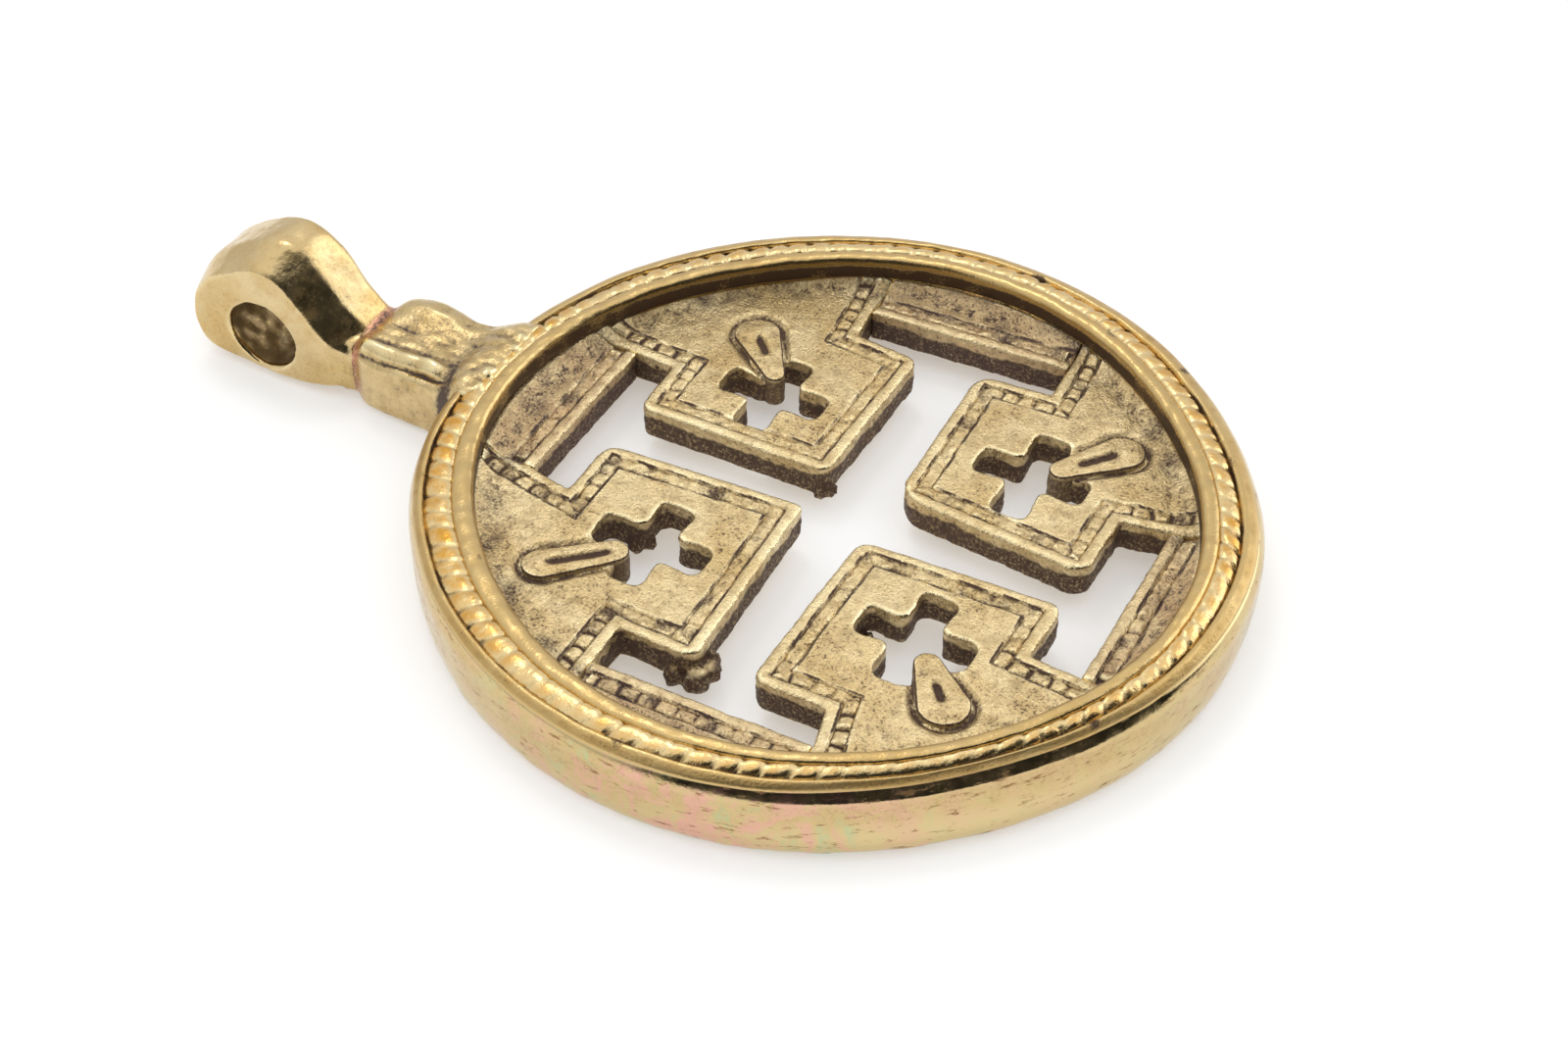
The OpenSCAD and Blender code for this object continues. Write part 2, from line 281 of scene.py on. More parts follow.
def settle(piece):
    """Applies a piece's modifiers to its mesh."""
    view = bpy.context.evaluated_depsgraph_get()
    view.update()
    mesh = bpy.data.meshes.new_from_object(piece.evaluated_get(view))
    piece.modifiers.clear()
    piece.data = mesh
    return piece


def turn_ring(name, outline, steps=360, levels=1):
    """Turns a closed outline of (radius, height) about the rim's centre and rounds it."""
    ring = bmesh.new()
    corners = [ring.verts.new((r, 0, z)) for r, z in outline]
    edges = [ring.edges.new((a, b)) for a, b in zip(corners, corners[1:] + corners[:1])]
    bmesh.ops.spin(ring, geom=corners + edges, cent=(0, 0, 0), axis=(0, 0, 1),
                   angle=math.tau, steps=steps, use_merge=True)
    bmesh.ops.remove_doubles(ring, verts=ring.verts, dist=1e-5)
    bmesh.ops.recalc_face_normals(ring, faces=ring.faces)
    bmesh.ops.translate(ring, verts=ring.verts, vec=(0, RIM_Y, 0))
    piece = new_piece(name, ring)
    if levels:
        rounding = piece.modifiers.new("rounding", "SUBSURF")
        rounding.levels = rounding.render_levels = levels
        settle(piece)
    return piece


def mark_hollows(piece, reach=6, scale=0.05):
    """Writes how hollow each point is against its surroundings, near and wider: 1 is deep in a
    line, and -1 is on an edge."""
    mesh = piece.data
    points = points_of(mesh)
    pairs = np.empty(len(mesh.edges) * 2, dtype=np.int64)
    mesh.edges.foreach_get("vertices", pairs)
    a, b = pairs[0::2], pairs[1::2]
    count = np.bincount(a, minlength=len(points)) + np.bincount(b, minlength=len(points))
    smooth, normals, depth = points.copy(), normals_of(mesh), 0
    for turn in range(reach * 5):
        total = np.stack([
            np.bincount(a, smooth[b, k], len(points)) + np.bincount(b, smooth[a, k], len(points))
            for k in range(3)
        ], 1)
        smooth = 0.5 * smooth + 0.5 * total / np.maximum(count, 1)[:, None]
        if turn + 1 in (reach, reach * 5):
            depth = depth * 0.7 + ((smooth - points) * normals).sum(1) / (scale * (1 + turn / reach / 2))
    write_values(mesh, "hollow", np.clip(depth, -1, 1))


def write_values(mesh, name, values):
    layer = mesh.attributes.get(name) or mesh.attributes.new(name, "FLOAT", "POINT")
    layer.data.foreach_set("value", np.asarray(values, dtype=np.float32))


MARK, NOISE = "ShaderNodeAttribute", "ShaderNodeTexNoise"
PAINT = {"data_type": "RGBA"}
TIMES = {"operation": "MULTIPLY", "use_clamp": True}
LARGER = {"operation": "MAXIMUM", "use_clamp": True}
SCALED_PLUS = {"operation": "MULTIPLY_ADD"}


def brass(name, metal, bright, deep, patina, hollow_from, hollow_to, spread, smooth, rough, pitting,
          bumps_mm, mottle_mm=0.8, pits_mm=0.16, tint="D9A23C", tint_by=None, tinted=0.0, film=0.0,
          streaks=0.0):
    """Yellow brass as cast: a pale worn skin, lighter on its edges, partly from wear and partly as a painted
    highlight, with brown oxide in the hollows. spread is how much oxide lies on the open surface, tint is a
    warm stain, film is the pink and green colours of a thin oxide film, and streaks are scratches that hold
    dirt."""
    mat = bpy.data.materials.new(name)
    mat.use_nodes = True
    tree = mat.node_tree
    shader = tree.nodes["Principled BSDF"]
    place = add(tree, "ShaderNodeTexCoord", take="Object")
    hollow, incised, cut = (
        add(tree, MARK, {"attribute_name": written}, take="Fac") for written in ("hollow", "incised", "cut")
    )
    # wide clouds, fine mottling and single pits
    wide, fine, grit = (
        add(tree, NOISE, take="Fac", Vector=place, Scale=1 / (size * MM), Detail=detail, Roughness=0.6,
            Distortion=distortion)
        for size, detail, distortion in ((3.2, 3.0, 0.6), (mottle_mm, 6.0, 0.3), (pits_mm, 3.0, 0.0))
    )
    clouded = add(tree, RANGE, Value=wide, From_Min=0.35, From_Max=0.65)
    mottled = add(tree, RANGE, Value=fine, From_Min=0.5, From_Max=0.8, To_Max=0.45)
    # edges, where hollow falls below zero, take the bright colour: partly wear, partly a painted highlight
    worn_and_highlit = add(tree, RANGE, Value=hollow, From_Min=-0.25, From_Max=-0.95)
    coats = [(clouded, deep), (mottled, deep), (worn_and_highlit, bright)]
    if tinted:
        where = add(tree, MARK, {"attribute_name": tint_by}, take="Fac") if tint_by else wide
        laid = add(tree, RANGE, Value=where, From_Min=0.25, From_Max=0.9)
        uneven = add(tree, RANGE, Value=fine, From_Min=0.35, From_Max=0.6, To_Min=0.15, To_Max=tinted)
        coats.append((add(tree, MATH, TIMES, _0=laid, _1=uneven), tint))
    if film:
        filmed = add(tree, MARK, {"attribute_name": "film"}, take="Fac")
        clouds = add(tree, NOISE, take="Fac", Vector=place, Scale=1 / (1.6 * MM), Detail=6.0,
                     Roughness=0.7, Distortion=0.8)
        for low, high, hue in ((0.49, 0.59, "E2AC9C"), (0.46, 0.36, "B2C498")):
            patch = add(tree, RANGE, Value=clouds, From_Min=low, From_Max=high, To_Max=film)
            coats.append((add(tree, MATH, TIMES, _0=filmed, _1=patch), hue))

    # oxide lies in hollows, over part of the open skin and as speckle in the pits, not on edges
    ragged = add(tree, MATH, SCALED_PLUS, _0=grit, _1=0.9, _2=hollow)
    ragged = add(tree, MATH, SCALED_PLUS, _0=fine, _1=0.5, _2=ragged)
    in_lines = add(tree, RANGE, Value=ragged, From_Min=hollow_from + 0.7, From_Max=hollow_to + 0.7)
    on_skin = add(tree, RANGE, Value=fine, From_Min=0.47, From_Max=0.7, To_Max=spread)
    pits = add(tree, MATH, SCALED_PLUS, _0=hollow, _1=0.12, _2=grit)
    speckle = add(tree, RANGE, Value=pits, From_Min=0.53, From_Max=0.6)
    crowded = add(tree, RANGE, Value=fine, From_Min=0.42, From_Max=0.56, To_Min=0.1,
                  To_Max=min(1.0, spread * 3))
    grouped = add(tree, RANGE, Value=wide, From_Min=0.42, From_Max=0.58, To_Min=0.35)
    speckle = add(tree, MATH, TIMES, _0=speckle, _1=crowded)
    speckle = add(tree, MATH, TIMES, _0=speckle, _1=grouped)
    dirt = add(tree, MATH, LARGER, _0=in_lines, _1=on_skin)
    dirt = add(tree, MATH, LARGER, _0=dirt, _1=speckle)
    off_edges = add(tree, RANGE, Value=hollow, From_Min=-0.7, From_Max=-0.2)
    dirt = add(tree, MATH, TIMES, _0=dirt, _1=off_edges)
    # it fills every cut line, and scratches where there are any
    lines = add(tree, MATH, SCALED_PLUS, _0=grit, _1=0.8, _2=incised)
    lines = add(tree, RANGE, Value=lines, From_Min=0.75, From_Max=1.1)
    dirt = add(tree, MATH, LARGER, _0=dirt, _1=lines)
    if streaks:
        drawn_out = add(tree, VECTOR, {"operation": "MULTIPLY"}, take="Vector", _0=place, _1=(1, 1, 5))
        drawn = add(tree, NOISE, take="Fac", Vector=drawn_out, Scale=1 / (1.1 * MM), Detail=6.0,
                    Roughness=0.75)
        scratch = add(tree, RANGE, Value=drawn, From_Min=0.57, From_Max=0.65, To_Max=streaks)
        dirt = add(tree, MATH, LARGER, _0=dirt, _1=scratch)
    # cut sides are caked with it, and are darkened further as painted shade
    grain = add(tree, RANGE, Value=grit, From_Min=0.36, From_Max=0.5, To_Min=0.62)
    patches = add(tree, RANGE, Value=fine, From_Min=0.4, From_Max=0.6)
    caked_and_shaded = add(tree, MATH, LARGER, _0=grain, _1=patches)
    sides = add(tree, RANGE, Value=cut, From_Min=0.45, From_Max=0.95)
    caked_and_shaded = add(tree, MATH, TIMES, _0=sides, _1=caked_and_shaded)
    dirt = add(tree, MATH, LARGER, _0=dirt, _1=caked_and_shaded)

    colour = linear(metal)
    for share, coat in [*coats, (dirt, patina)]:
        colour = add(tree, MIX, PAINT, take=2, _0=share, _6=colour, _7=linear(coat))
    skin = add(tree, RANGE, Value=fine, From_Min=0.3, From_Max=0.7, To_Min=smooth,
               To_Max=(smooth + rough) / 2)
    worn = add(tree, MIX, AMOUNT, _0=worn_and_highlit, _2=skin, _3=smooth * 0.6)
    pitted = add(tree, RANGE, Value=grit, From_Min=0.3, From_Max=0.75, To_Max=pitting)
    uneven = add(tree, RANGE, Value=fine, From_Min=0.3, From_Max=0.8, To_Max=0.4)
    relief = add(tree, MATH, {"operation": "ADD", "use_clamp": True}, _0=pitted, _1=uneven)
    relief = add(tree, MATH, TIMES, _0=relief, _1=add(tree, RANGE, Value=worn_and_highlit, To_Min=1.0, To_Max=0.35))
    for socket, value in (
        ("Base Color", colour),
        ("Metallic", add(tree, RANGE, Value=dirt, To_Min=1.0, To_Max=0.55)),
        ("Roughness", add(tree, MIX, AMOUNT, _0=dirt, _2=worn, _3=rough)),
        ("Normal", add(tree, "ShaderNodeBump", Height=relief, Strength=1, Distance=bumps_mm * MM)),
    ):
        tree.links.new(value, shader.inputs[socket])
    return mat


def finish_piece(piece, finish, slot, *nodes, reach=6, scale=0.05):
    """Brings a piece to metres, gives it its metal and puts it in place of its CAD nodes."""
    mark_hollows(piece, reach, scale)
    piece.data.transform(Matrix.Scale(MM, 4))
    piece.data.materials.clear()
    piece.data.materials.append(finish)
    piece.data.shade_smooth()
    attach(piece, "root")
    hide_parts(*nodes)


# filed and buffed brass: it mirrors the room in bands, under scratches and a thin oxide film
polished_brass = brass("polished_brass", "D2BB88", "D6C08E", "C8AE7A", "845A2E", hollow_from=0.35,
                       hollow_to=1.0, spread=0.08, smooth=0.1, rough=0.45, pitting=0.35, bumps_mm=0.012,
                       film=0.78, streaks=0.85)

rim = turn_ring("rim_ring", [
    (14.25, 2.6), (14.25, 0.9), (14.3, 0.4), (14.55, 0.08), (15.0, 0.0), (15.7, 0.0), (16.2, 0.12),
    (16.52, 0.45), (16.66, 0.95), (16.7, 1.6), (16.7, 2.1), (16.7, 2.36), (16.68, 2.5), (16.6, 2.62),
    (16.44, 2.79), (16.28, 2.96), (16.18, 3.05), (16.08, 3.1), (15.9, 3.08), (14.9, 3.0), (14.3, 3.0),
], steps=300, levels=1)
points = hand_made(filed(points_of(rim.data)))
# flaws left by the file: shallow dents and a rough lower edge
dents = np.clip(lumps(points, 1.1, 5) - 0.25, 0, 1) * 0.05
low_edge = np.exp(-((points[:, 2] - 0.25) / 0.25) ** 2) * 0.06 * lumps(points, 0.7, 12)
points = at_radius(points, polar(points)[0] + low_edge - dents)
points[:, 2] = np.maximum(points[:, 2], 0)
move_points(rim.data, points)
_, bearing = polar(points)
write_values(rim.data, "film", np.clip(0.1 + bump(bearing, -170, 25) + 0.4 * bump(bearing, 20, 60), 0, 1))
finish_piece(rim, polished_brass, "polished_brass", "rim_ring", scale=0.03)

# ---------------------------------------------------------------------------------------
# Plain bands: two wires that the pattern maker laid beside the rope. They are cast with the ring, and their
# tops are rubbed bright, so only their feet hold dirt. The inner band's wall that faces the opening is
# painted dark all down as painted shade.
# ---------------------------------------------------------------------------------------
# handled brass: a satin, slightly orange skin with dirt along the feet, and painted shade down the wall that
# faces the opening
worn_brass = brass("worn_brass", "C6AA74", "CDB27C", "B4955E", "4E3B2A", hollow_from=0.05, hollow_to=0.5,
                   spread=0.4, smooth=0.4, rough=0.5, pitting=0.6, bumps_mm=0.03, pits_mm=0.1,
                   tint="D0A04A", tinted=0.45)

inner_band = turn_ring("rim_inner_band", [
    (14.2, 2.3), (14.2, 3.25), (14.25, 3.48), (14.4, 3.6), (14.6, 3.6), (14.8, 3.56), (14.88, 3.48),
    (14.9, 3.4), (14.92, 2.3),
], steps=360)
outer_band = turn_ring("rim_outer_band", [
    (15.7, 2.7), (15.7, 3.28), (15.77, 3.4), (15.86, 3.41), (15.96, 3.34), (16.06, 3.24), (16.14, 3.14),
    (16.16, 3.02), (16.1, 2.7),
], steps=360)
for band, name, seed in ((inner_band, "rim_inner_band", 1), (outer_band, "rim_outer_band", 2)):
    points = points_of(band.data)
    r, _ = polar(points)
    inside, opening_side = r < 15.8, r < 14.35
    points = hand_made(filed(points))
    on_top = np.clip((points[:, 2] - SEAT) / 0.4, 0, 1)
    points[:, 2] += on_top * (0.05 * lumps(points, 1.3, seed) + 0.03 * lumps(points, 0.45, seed + 4))
    move_points(band.data, points)
    # dirt lies along the feet, and in a few stains on top, with more of them round the right side; the inner
    # band's wall that faces the opening is painted dark as painted shade
    feet_dirt_and_opening_shade = np.clip((3.42 - points[:, 2]) / 0.1, 0, 1) * (inside | (band is inner_band))
    patchy = np.where(opening_side, 0.3, 1.2 if band is inner_band else 0.5)
    feet_dirt_and_opening_shade = feet_dirt_and_opening_shade * (np.where(opening_side, 0.8, 0.65) + patchy * lumps(points, 0.9, seed + 9))
    handled = 0.3 * bump(polar(points)[1], -15, 45) * (band is outer_band)
    stains = np.clip(2.6 * lumps(points, 1.3, seed + 14) - 1.2 + handled, 0, 1)
    stains = stains * (points[:, 2] > 3.2) * ~opening_side
    write_values(band.data, "incised", np.maximum(feet_dirt_and_opening_shade, stains))
    finish_piece(band, worn_brass, "worn_brass", name, scale=0.03)

# ---------------------------------------------------------------------------------------
# Rope: a twisted wire laid between the bands, pressed into the clay mould with them. Each
# twist is a domed pad with a nick at its outer end, crisp in places and worn in others.
# ---------------------------------------------------------------------------------------
TWISTS = 104
ROPE_R = 15.33        # middle of the rope
ROPE_HALF = 0.42      # half its width

# cast brass with an orange stain on each dome and black-brown dirt in the nicks
tinted_brass = brass("tinted_brass", "CDB27C", "E4CB96", "B6985F", "453527", hollow_from=0.0,
                     hollow_to=0.35, spread=0.4, smooth=0.32, rough=0.5, pitting=0.7, bumps_mm=0.03,
                     pits_mm=0.1, tint="D89E3C", tint_by="dome", tinted=0.95)

rope = turn_ring("rim_rope", [
    (15.74, 2.8), (15.74, 3.22), (15.68, 3.3), (15.6, 3.38), (15.5, 3.44), (15.38, 3.48), (15.24, 3.52),
    (15.1, 3.54), (14.98, 3.53), (14.9, 3.5), (14.87, 3.44), (14.87, 2.8),
], steps=TWISTS * 14, levels=0)
points = points_of(rope.data)
r, bearing = polar(points)
out = (r - ROPE_R) / ROPE_HALF
turns = bearing / 360 * TWISTS + 0.22 * out + 0.25 * lumps(points, 1.4, 7)
share = turns - np.floor(turns)
crisp = np.clip(0.6 + 0.8 * lumps(points, 2.6, 21), 0.1, 1)
outer_nick = np.clip((out - 0.1) / 0.5, 0, 1) + 0.5 * np.clip((-0.45 - out) / 0.3, 0, 1)
nick = np.exp(-((np.minimum(share, 1 - share) / 0.13) ** 2)) * np.clip(0.1 + outer_nick, 0, 1)
dome = np.sin(np.pi * share) ** 0.6 * np.clip(1 - out**4, 0, 1)
points = hand_made(points)
on_top = np.clip((points[:, 2] - 3.1) / 0.12, 0, 1)
points[:, 2] += on_top * (0.05 * dome * crisp - 0.16 * nick * crisp + 0.03 * lumps(points, 0.5, 31)
                          + 0.02 * lumps(points, 0.22, 32) - 0.03)
move_points(rope.data, points)
stained = 0.55 + 0.75 * bump(bearing, 120, 50) + 0.4 * bump(bearing, -60, 60)
write_values(rope.data, "dome", np.clip(dome * on_top * (0.6 + 0.5 * crisp) * stained, 0, 1))
crease = np.clip((out - 0.86) / 0.1, 0, 1)
write_values(rope.data, "incised", np.clip(0.9 * nick * crisp + crease * crisp, 0, 1))
finish_piece(rope, tinted_brass, "tinted_brass", "rim_rope", scale=0.035)

# ---------------------------------------------------------------------------------------
# Quadrant plates: four squarish panels of one thin cast plate, standing inside the rim.
# The crosses were cut through the soft pattern with a knife, so no two corners agree.
# ---------------------------------------------------------------------------------------
PLATE_BACK = plate_low.z / MM
SKIN = 0.075          # spacing of a cast surface's points
BEYOND = 18           # a distance from the cross's middle that is well outside the rim

# Corners of each panel from the large cross's centre: the one at the middle of the cross,
# then along the left or right arm to its crossbar, and along the upper or lower arm to its own.
PANELS = {
    "top_right": {
        "middle": (1.41, 1.49, 0.4),
        "side": [(9.62, 1.24, 0.6), (9.96, 4.26, 0.1), (11.6, 4.44, 0.0)],
        "end": [(1.35, 10.1, 0.55), (4.31, 10.2, 0.1), (4.42, 11.96, 0.0)],
        "cross": (2.4, 7.1, 3.3, 7.95), "drop": ((5.6, 5.9), (8.7, 8.75), 0.45, 1.0), "slot": 0.3,
    },
    "top_left": {
        "middle": (-0.75, 1.37, 0.35),
        "side": [(-10.2, 1.11, 0.65), (-10.07, 4.33, 0.1), (-12.02, 4.36, 0.0)],
        "end": [(-1.25, 10.06, 0.75), (-4.32, 10.04, 0.1), (-3.95, 11.95, 0.0)],
        "cross": (-7.85, -3.2, 3.15, 8.0), "drop": ((-6.15, 6.2), (-9.05, 9.3), 0.62, 0.78), "slot": 0.75,
    },
    "bottom_left": {
        "middle": (-1.49, -1.46, 0.7),
        "side": [(-10.08, -1.18, 0.6), (-10.07, -4.3, 0.1), (-11.88, -4.7, 0.0)],
        "end": [(-1.15, -9.87, 0.6), (-4.12, -9.78, 0.1), (-4.31, -11.85, 0.0)],
        "cross": (-7.75, -2.9, -7.95, -3.3), "drop": ((-5.9, -6.25), (-8.7, -8.65), 0.55, 1.02), "slot": 0.3,
    },
    "bottom_right": {
        "middle": (1.59, -1.55, 1.1),
        "side": [(9.95, -1.35, 0.9), (10.13, -4.59, 0.1), (11.99, -4.52, 0.0)],
        "end": [(0.81, -9.91, 0.75), (4.24, -9.99, 0.1), (4.64, -12.0, 0.0)],
        "cross": (2.5, 7.65, -8.2, -3.5), "drop": ((5.6, -6.45), (8.85, -9.15), 0.52, 0.94), "slot": 0.5,
    },
}


def slab(name, corners, low, high):
    """A flat plate with an outline of (x, y, rounding) from the large cross's centre."""
    plate = bmesh.new()
    ring = [plate.verts.new((x, CROSS_Y + y, low)) for x, y, _ in corners]
    plate.faces.new(ring)
    for vert, (_, _, rounding) in zip(ring, corners):
        if rounding:
            bmesh.ops.bevel(plate, geom=[vert], affect="VERTICES", offset=rounding, segments=5,
                            profile=0.5, material=-1)
    top = bmesh.ops.extrude_face_region(plate, geom=plate.faces[:])
    bmesh.ops.translate(plate, vec=(0, 0, high - low),
                        verts=[v for v in top["geom"] if isinstance(v, bmesh.types.BMVert)])
    bmesh.ops.recalc_face_normals(plate, faces=plate.faces)
    return new_piece(name, plate)


def combine(piece, other, how):
    """Cuts a piece with another, keeps what they share, or joins them, and drops the other."""
    change = piece.modifiers.new("combine", "BOOLEAN")
    change.operation = how
    change.solver = "EXACT"
    change.object = other
    settle(piece)
    bpy.data.objects.remove(other)


def trim_to_opening(piece):
    """Keeps what lies inside the rim's opening, and enough beyond it to sink into the rim."""
    bar = bmesh.new()
    radius, height = OPENING_R + 0.3, 5
    bmesh.ops.create_cone(bar, cap_ends=True, segments=256, radius1=radius, radius2=radius, depth=height)
    bmesh.ops.translate(bar, verts=bar.verts, vec=(0, RIM_Y, height / 2))
    combine(piece, new_piece("inside", bar), "INTERSECT")


def recast(piece, spacing=SKIN, soften=6):
    """Gives a piece the one even, slightly softened skin that casting leaves."""
    skin = piece.modifiers.new("skin", "REMESH")
    skin.mode = "VOXEL"
    skin.voxel_size = spacing
    soft = piece.modifiers.new("soft", "SMOOTH")
    soft.factor = 0.5
    soft.iterations = soften
    settle(piece)


def cross_outline(left, right, low, high):
    """Corners of a small cross cut in a panel: round at the ends, blunt between the arms."""
    mouth, end, turn = 0.66, 0.82, 0.45  # half an arm's width at its root and end, and the rounding
    x, y = (left + right) / 2, (low + high) / 2
    return [(across, up, turn) for across, up in (
        (left, y - end), (x - mouth, y - mouth), (x - end, low), (x + end, low),
        (x + mouth, y - mouth), (right, y - end), (right, y + end), (x + mouth, y + mouth),
        (x + end, high), (x - end, high), (x - mouth, y + mouth), (left, y + end),
    )]


def from_line(flat, start, end, towards):
    """How far points are to one side of a line, and how far along it."""
    start, end, towards = (np.array(p[:2], float) for p in (start, end, towards))
    along = (end - start) / np.linalg.norm(end - start)
    off = np.array([-along[1], along[0]])
    if (towards - start) @ off < 0:
        off = -off
    return (flat - start) @ off, (flat - start) @ along


def from_edge(flat, panel):
    """How far points are inside a panel's cut edges, and how far along the nearest edge."""
    left, right, low, high = panel["cross"]
    towards = ((left + right) / 2, (low + high) / 2)
    edges = []
    for near, inner, outer in (panel["side"], panel["end"]):
        bar = from_line(flat, near, inner, towards)
        end = from_line(flat, inner, outer, towards)
        beyond = bar[0] > end[0]
        edges.append(from_line(flat, panel["middle"], near, towards))
        edges.append((np.where(beyond, bar[0], end[0]), np.where(beyond, bar[1], end[1] + 20)))
    away = np.stack([e[0] for e in edges])
    nearest = away.argmin(0)
    along = np.take_along_axis(np.stack([e[1] + 40 * i for i, e in enumerate(edges)]), nearest[None], 0)[0]
    return away.min(0), along


def from_drop(flat, drop):
    """How far points are outside a teardrop's outline, how far along it they are (0 to 1), and
    how far off its middle line."""
    tip, end, r_tip, r_end = np.array(drop[0]), np.array(drop[1]), drop[2], drop[3]
    along = (end - tip) / np.linalg.norm(end - tip)
    start, stop = tip + along * r_tip, end - along * r_end
    length = np.linalg.norm(stop - start)
    t = ((flat - start) @ along) / length
    held = np.clip(t, 0, 1)
    near = start + held[:, None] * (stop - start)
    outside = np.linalg.norm(flat - near, axis=1) - (r_tip + (r_end - r_tip) * held)
    return outside, t, (flat - start) @ np.array([-along[1], along[0]])


def groove(away, at, width):
    return np.exp(-(((away - at) / width) ** 2))


def swell(points):
    """The plate's own gentle unevenness, shared by everything on it, and its fillet into the rim."""
    r, _ = polar(points)
    fillet = np.clip((r - 13.3) / 0.95, 0, 1) ** 2
    rough = np.clip((r - 9.5) / 3.5, 0, 1)
    return (0.05 * lumps(points, 4.5, 40) + (0.008 + 0.03 * rough) * lumps(points, 1.1, 41)
            + (0.006 + 0.025 * rough) * lumps(points, 0.35, 42) + 0.35 * fillet)


def cast_plate(piece, relief):
    """Works a panel's or web's face, and roughens its cut sides and back. relief(flat points) gives
    the face's height, its cut lines and where it is soiled."""
    recast(piece)
    points, normals = points_of(piece.data), normals_of(piece.data)
    flat = points[:, :2] - (0, CROSS_Y)
    face = np.clip((points[:, 2] - PLATE_TOP + 0.45) / 0.4, 0, 1)
    side = 1 - np.abs(normals[:, 2])
    sides = side * (0.06 * lumps(points, 1.8, 49) + 0.04 * lumps(points, 0.45, 50)
                    + 0.03 * lumps(points, 0.2, 51))
    back = np.clip(-normals[:, 2], 0, 1) * (0.05 * lumps(points, 0.9, 52) + 0.03 * lumps(points, 0.3, 53))
    moved = points + normals * (sides + back)[:, None]
    height, incised, soiled = relief(flat)
    moved[:, 2] += face * (swell(points) + height)
    move_points(piece.data, moved)
    # soil lies around the relief in patches, and a darkening up against the rim is dirt together with
    # painted shade in that corner, least where a thumb rubs
    out, bearing = polar(points)
    unworn = 1 - 0.6 * bump(bearing, -130, 40)
    soil_and_rim_shade = np.maximum(soiled * (0.62 + 0.5 * lumps(points, 0.9, 57)),
                      np.clip((out - 11.6) / 1.8, 0, 1) * (0.54 + 0.5 * lumps(points, 1.2, 58)) * unworn)
    lines = incised * np.clip(0.75 + 0.9 * lumps(points, 0.8, 54), 0.1, 1)
    write_values(piece.data, "incised", face * np.clip(np.maximum(lines, 0.75 * soil_and_rim_shade), 0, 1))
    # cut sides are dark from a ragged line under the top edge, and flash and the foot of every side are dark
    # all over; this is oxide together with painted shade
    below = PLATE_TOP - 0.24 + 0.25 * lumps(points, 1.5, 55) + 0.1 * lumps(points, 0.3, 56) - points[:, 2]
    dark_side = np.clip(side * 1.3 - 0.1, 0, 1) * np.clip(below / 0.25, 0, 1)
    low_sides_oxide_and_shade = np.clip((PLATE_BACK + 0.8 - points[:, 2]) / 0.3, 0, 1) * (normals[:, 2] > -0.6)
    write_values(piece.data, "cut", np.maximum(low_sides_oxide_and_shade, dark_side))


def add_flash(piece, spots):
    """Leftover flash: rough lumps of metal on the lower edge of a cut, each given as (x, y, size)
    from the large cross's centre."""
    for i, (x, y, size) in enumerate(spots):
        lump = bmesh.new()
        bmesh.ops.create_icosphere(lump, subdivisions=3, radius=size)
        for vert in lump.verts:
            vert.co *= 1 + 0.5 * noise.noise(vert.co / size * 1.7 + Vector((i, x, y)))
        bmesh.ops.translate(lump, verts=lump.verts, vec=(x, CROSS_Y + y, PLATE_BACK + 0.15))
        combine(piece, new_piece("flash", lump), "UNION")


FLASH = {
    "top_left": [(-8.9, 1.05, 0.36), (-9.45, 0.85, 0.48), (-10.05, 1.1, 0.52), (-10.25, 1.9, 0.4),
                 (-4.35, 6.35, 0.34), (-4.8, 6.7, 0.3)],
    "top_right": [(1.5, 1.75, 0.32), (1.75, 1.45, 0.28), (2.0, 2.3, 0.2)],
    "bottom_left": [(-5.0, -3.6, 0.22)],
    "bottom_right": [(9.9, -1.5, 0.2)],
}

# brass straight from the mould: pale where it is worn, lighter still on its edges as a painted highlight,
# pitted, with brown oxide in the lines
cast_brass = brass("cast_brass", "F0DAAA", "FFF2C8", "D6BD8A", "574234", hollow_from=0.0, hollow_to=0.35,
                   spread=0.3, smooth=0.2, rough=0.6, pitting=0.9, bumps_mm=0.036, mottle_mm=0.55,
                   pits_mm=0.12, tint="D6A858", tinted=0.4)
CHANNEL = (0.5, 1.14)  # the border's channel, from a panel's edge
CHANNEL_DEEP = 0.15


def worked_edge(away, outer_line=0.06):
    """Relief along a cut edge: the height of its soft lip and the border's channel, the two lines
    cut beside the channel, and the soil in it. outer_line is the outer line's width."""
    inner, outer = CHANNEL
    channel = CHANNEL_DEEP * np.clip((away - inner) / 0.06, 0, 1) * np.clip((outer - away) / 0.06, 0, 1)
    lines = np.maximum(groove(away, inner - 0.02, 0.06), groove(away, outer + 0.03, outer_line))
    return 0.05 * groove(away, 0.26, 0.2) - channel, lines, groove(away, 0.84, 0.5)


